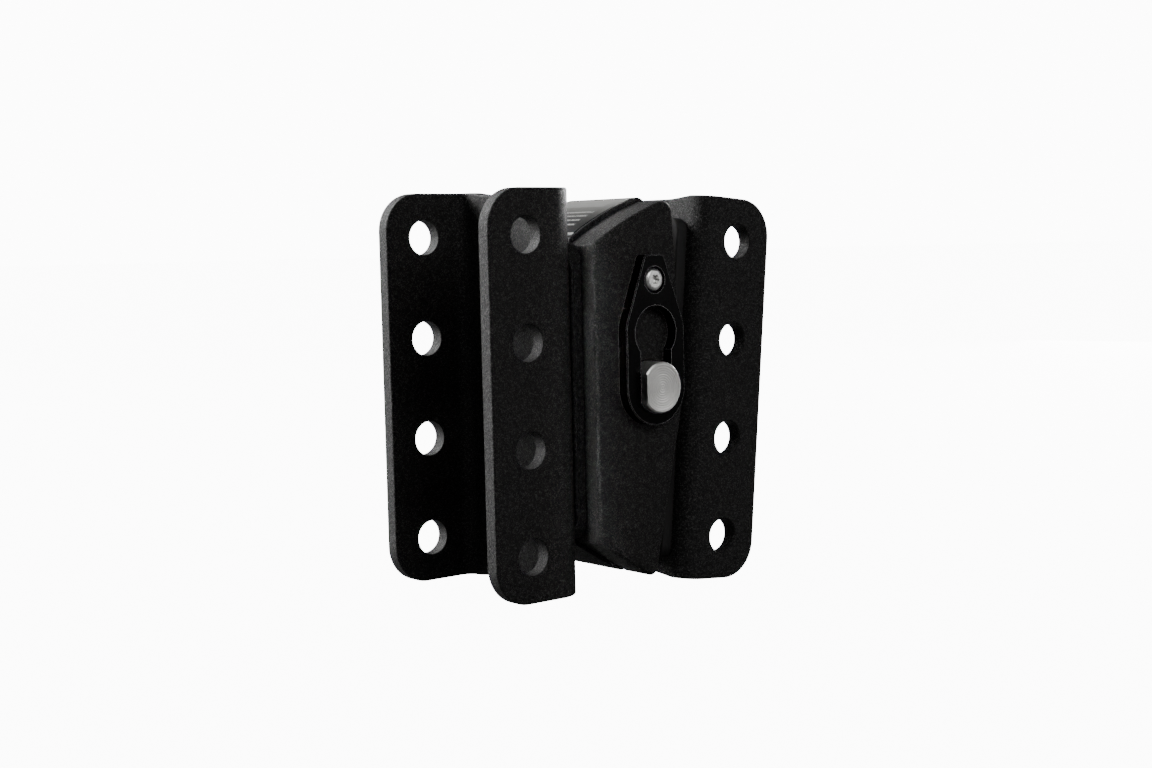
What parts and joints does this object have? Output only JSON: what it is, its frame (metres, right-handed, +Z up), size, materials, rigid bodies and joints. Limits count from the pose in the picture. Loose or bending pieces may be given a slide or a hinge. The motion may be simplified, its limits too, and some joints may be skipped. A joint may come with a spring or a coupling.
{
  "type": "articulating hitch coupler",
  "caption": "Cushioned coupler for a trailer hitch: opposed bolt-in channel brackets rock on a cross pin held by a keyhole keeper plate.",
  "frame": {"origin": "bottom centre of the whole part's box", "axes": "+Z up along the left bracket, +Y along the cross pin towards its plain end, +X from the left bracket to the right one"},
  "size_m": [0.1828, 0.1058, 0.2021],
  "materials": {
    "powder_coat": "fine-textured satin black powder coat",
    "gloss_black": "smooth gloss black",
    "turned_steel": "turned stainless steel, satin",
    "plated_screw": "bright plated",
    "bronze": "plain machined bronze",
    "rubber": "moulded black rubber",
    "label": null
  },
  "bodies": {
    "ear_frame": {"left_bracket": "powder_coat", "spine_plate": "powder_coat", "spine_welds": "powder_coat", "ear_front": "powder_coat", "ear_back": "powder_coat", "liner_front": "powder_coat", "liner_back": "powder_coat", "ear_welds": "powder_coat", "pivot_pin": "turned_steel", "keeper_plate": "gloss_black", "keeper_screw": "plated_screw", "cushion_cover": "powder_coat", "cushion_cover_lower": "powder_coat", "cover_label": "label", "cushion_upper": "rubber", "cushion_lower": "rubber"},
    "rocking_frame": {"right_bracket": "powder_coat", "bump_pad": "rubber", "hub_side_front": "powder_coat", "hub_side_back": "powder_coat", "hub_tube": "powder_coat", "bushing_front": "bronze", "bushing_back": "bronze", "thrust_washer_front": "bronze", "thrust_washer_back": "bronze", "strike_plate_upper": "powder_coat", "strike_plate_lower": "powder_coat", "hub_welds": "powder_coat"}
  },
  "joints": [
    {"name": "rock", "type": "hinge", "parent": "ear_frame", "child": "rocking_frame", "pos_m": [0.00511, 0.00382, 0.10365], "axis": [0, 1, 0], "range_deg": [-9, 8], "stiffness_Nm_per_rad": 900, "deforming": ["cushion_upper", "cushion_lower"]}
  ]
}
